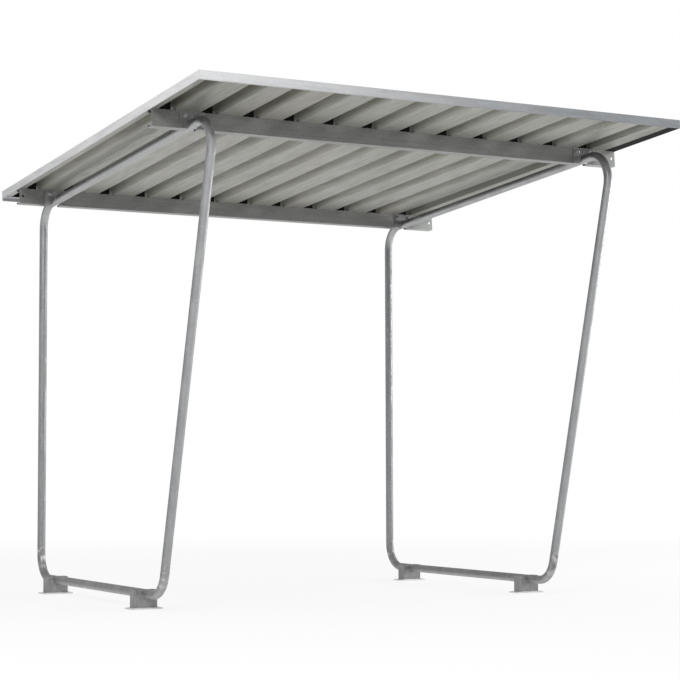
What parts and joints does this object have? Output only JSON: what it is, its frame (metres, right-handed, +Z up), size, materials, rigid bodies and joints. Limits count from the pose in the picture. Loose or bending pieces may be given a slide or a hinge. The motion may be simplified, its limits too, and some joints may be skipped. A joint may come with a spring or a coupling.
{
  "type": "bike shelter",
  "caption": "Open bike shelter: two leaning loops of bent galvanised tube on box feet carry two beams and a gently sloping ribbed steel sheet roof.",
  "frame": {"origin": "on the ground, in the middle of the roof outline", "axes": "+Z up, -Y to the open front where the roof is higher, +X to the right when facing the front from outside looking along +Y"},
  "size_m": [2.55, 2.5999, 2.3325],
  "materials": {
    "galvanised_tube": "hot-dip galvanised, semi-matt",
    "galvanised_plate": "hot-dip galvanised, matt",
    "galvanised_beam": "pre-galvanised strip, dull",
    "rib_block": "black moulded plastic, matt",
    "roof_sheet": "zinc-coated sheet, weathered",
    "edge_trim": "zinc-coated sheet, bright"
  },
  "bodies": {
    "root": {"left_rear_upright": "galvanised_tube", "left_front_upright": "galvanised_tube", "left_base_rail": "galvanised_tube", "left_top_rail": "galvanised_tube", "right_rear_upright": "galvanised_tube", "right_front_upright": "galvanised_tube", "right_base_rail": "galvanised_tube", "right_top_rail": "galvanised_tube", "left_rear_foot": "galvanised_plate", "left_front_foot": "galvanised_plate", "right_rear_foot": "galvanised_plate", "right_front_foot": "galvanised_plate", "left_rear_base_plate": "galvanised_plate", "left_front_base_plate": "galvanised_plate", "right_rear_base_plate": "galvanised_plate", "right_front_base_plate": "galvanised_plate", "left_front_bracket": "galvanised_plate", "right_front_bracket": "galvanised_plate", "left_rear_bracket": "galvanised_plate", "right_rear_bracket": "galvanised_plate", "front_beam": "galvanised_beam", "rear_beam": "galvanised_beam", "front_rib_blocks": "rib_block", "rear_rib_blocks": "rib_block", "roof_sheet_left": "roof_sheet", "roof_sheet_middle": "roof_sheet", "roof_sheet_right": "roof_sheet", "front_trim": "edge_trim", "left_trim": "edge_trim", "right_trim": "edge_trim", "rear_drip_trim": "edge_trim"}
  },
  "joints": []
}
